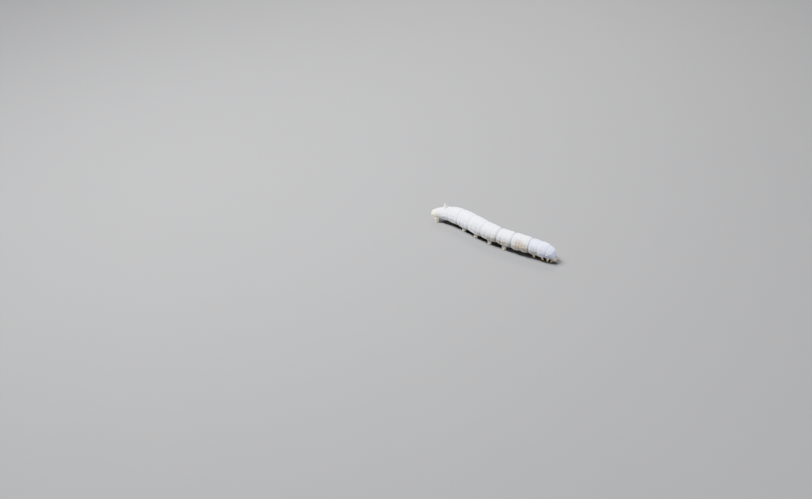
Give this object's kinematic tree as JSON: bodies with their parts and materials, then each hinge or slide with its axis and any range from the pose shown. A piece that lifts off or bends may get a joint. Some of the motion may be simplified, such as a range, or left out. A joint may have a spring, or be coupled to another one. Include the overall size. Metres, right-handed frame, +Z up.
{
  "type": "silkworm",
  "caption": "Full-grown silk moth larva, life size, white and ringed with soft folds, tail horn up and head tucked down, standing on its feet as a still display model.",
  "frame": {"origin": "on the floor, below the middle of the model's box", "axes": "+X from the tail towards the head, +Y to the animal's left, +Z up"},
  "size_m": [0.0729, 0.0125, 0.0109],
  "materials": {
    "silkworm_skin": "matte, finely wrinkled skin",
    "silkworm_tail_skin": "matte, cream skin",
    "silkworm_head_shell": "smooth, slightly glossy shell",
    "silkworm_leg_shell": "smooth, slightly glossy shell"
  },
  "bodies": {
    "root": {"abdomen_9": "silkworm_skin", "abdomen_8": "silkworm_skin", "abdomen_7": "silkworm_skin", "abdomen_6": "silkworm_skin", "abdomen_5": "silkworm_skin", "abdomen_4": "silkworm_skin", "abdomen_3": "silkworm_skin", "abdomen_2": "silkworm_skin", "abdomen_1": "silkworm_skin", "metathorax": "silkworm_skin", "mesothorax": "silkworm_skin", "prothorax": "silkworm_skin", "proleg_3_left": "silkworm_skin", "proleg_3_right": "silkworm_skin", "proleg_4_left": "silkworm_skin", "proleg_4_right": "silkworm_skin", "proleg_5_left": "silkworm_skin", "proleg_5_right": "silkworm_skin", "proleg_6_left": "silkworm_skin", "proleg_6_right": "silkworm_skin", "anal_segment": "silkworm_tail_skin", "caudal_horn": "silkworm_tail_skin", "anal_proleg_left": "silkworm_tail_skin", "anal_proleg_right": "silkworm_tail_skin", "head": "silkworm_head_shell", "foreleg_left": "silkworm_leg_shell", "foreleg_right": "silkworm_leg_shell", "midleg_left": "silkworm_leg_shell", "midleg_right": "silkworm_leg_shell", "hindleg_left": "silkworm_leg_shell", "hindleg_right": "silkworm_leg_shell", "antenna_left": "silkworm_leg_shell", "antenna_right": "silkworm_leg_shell"}
  },
  "joints": []
}
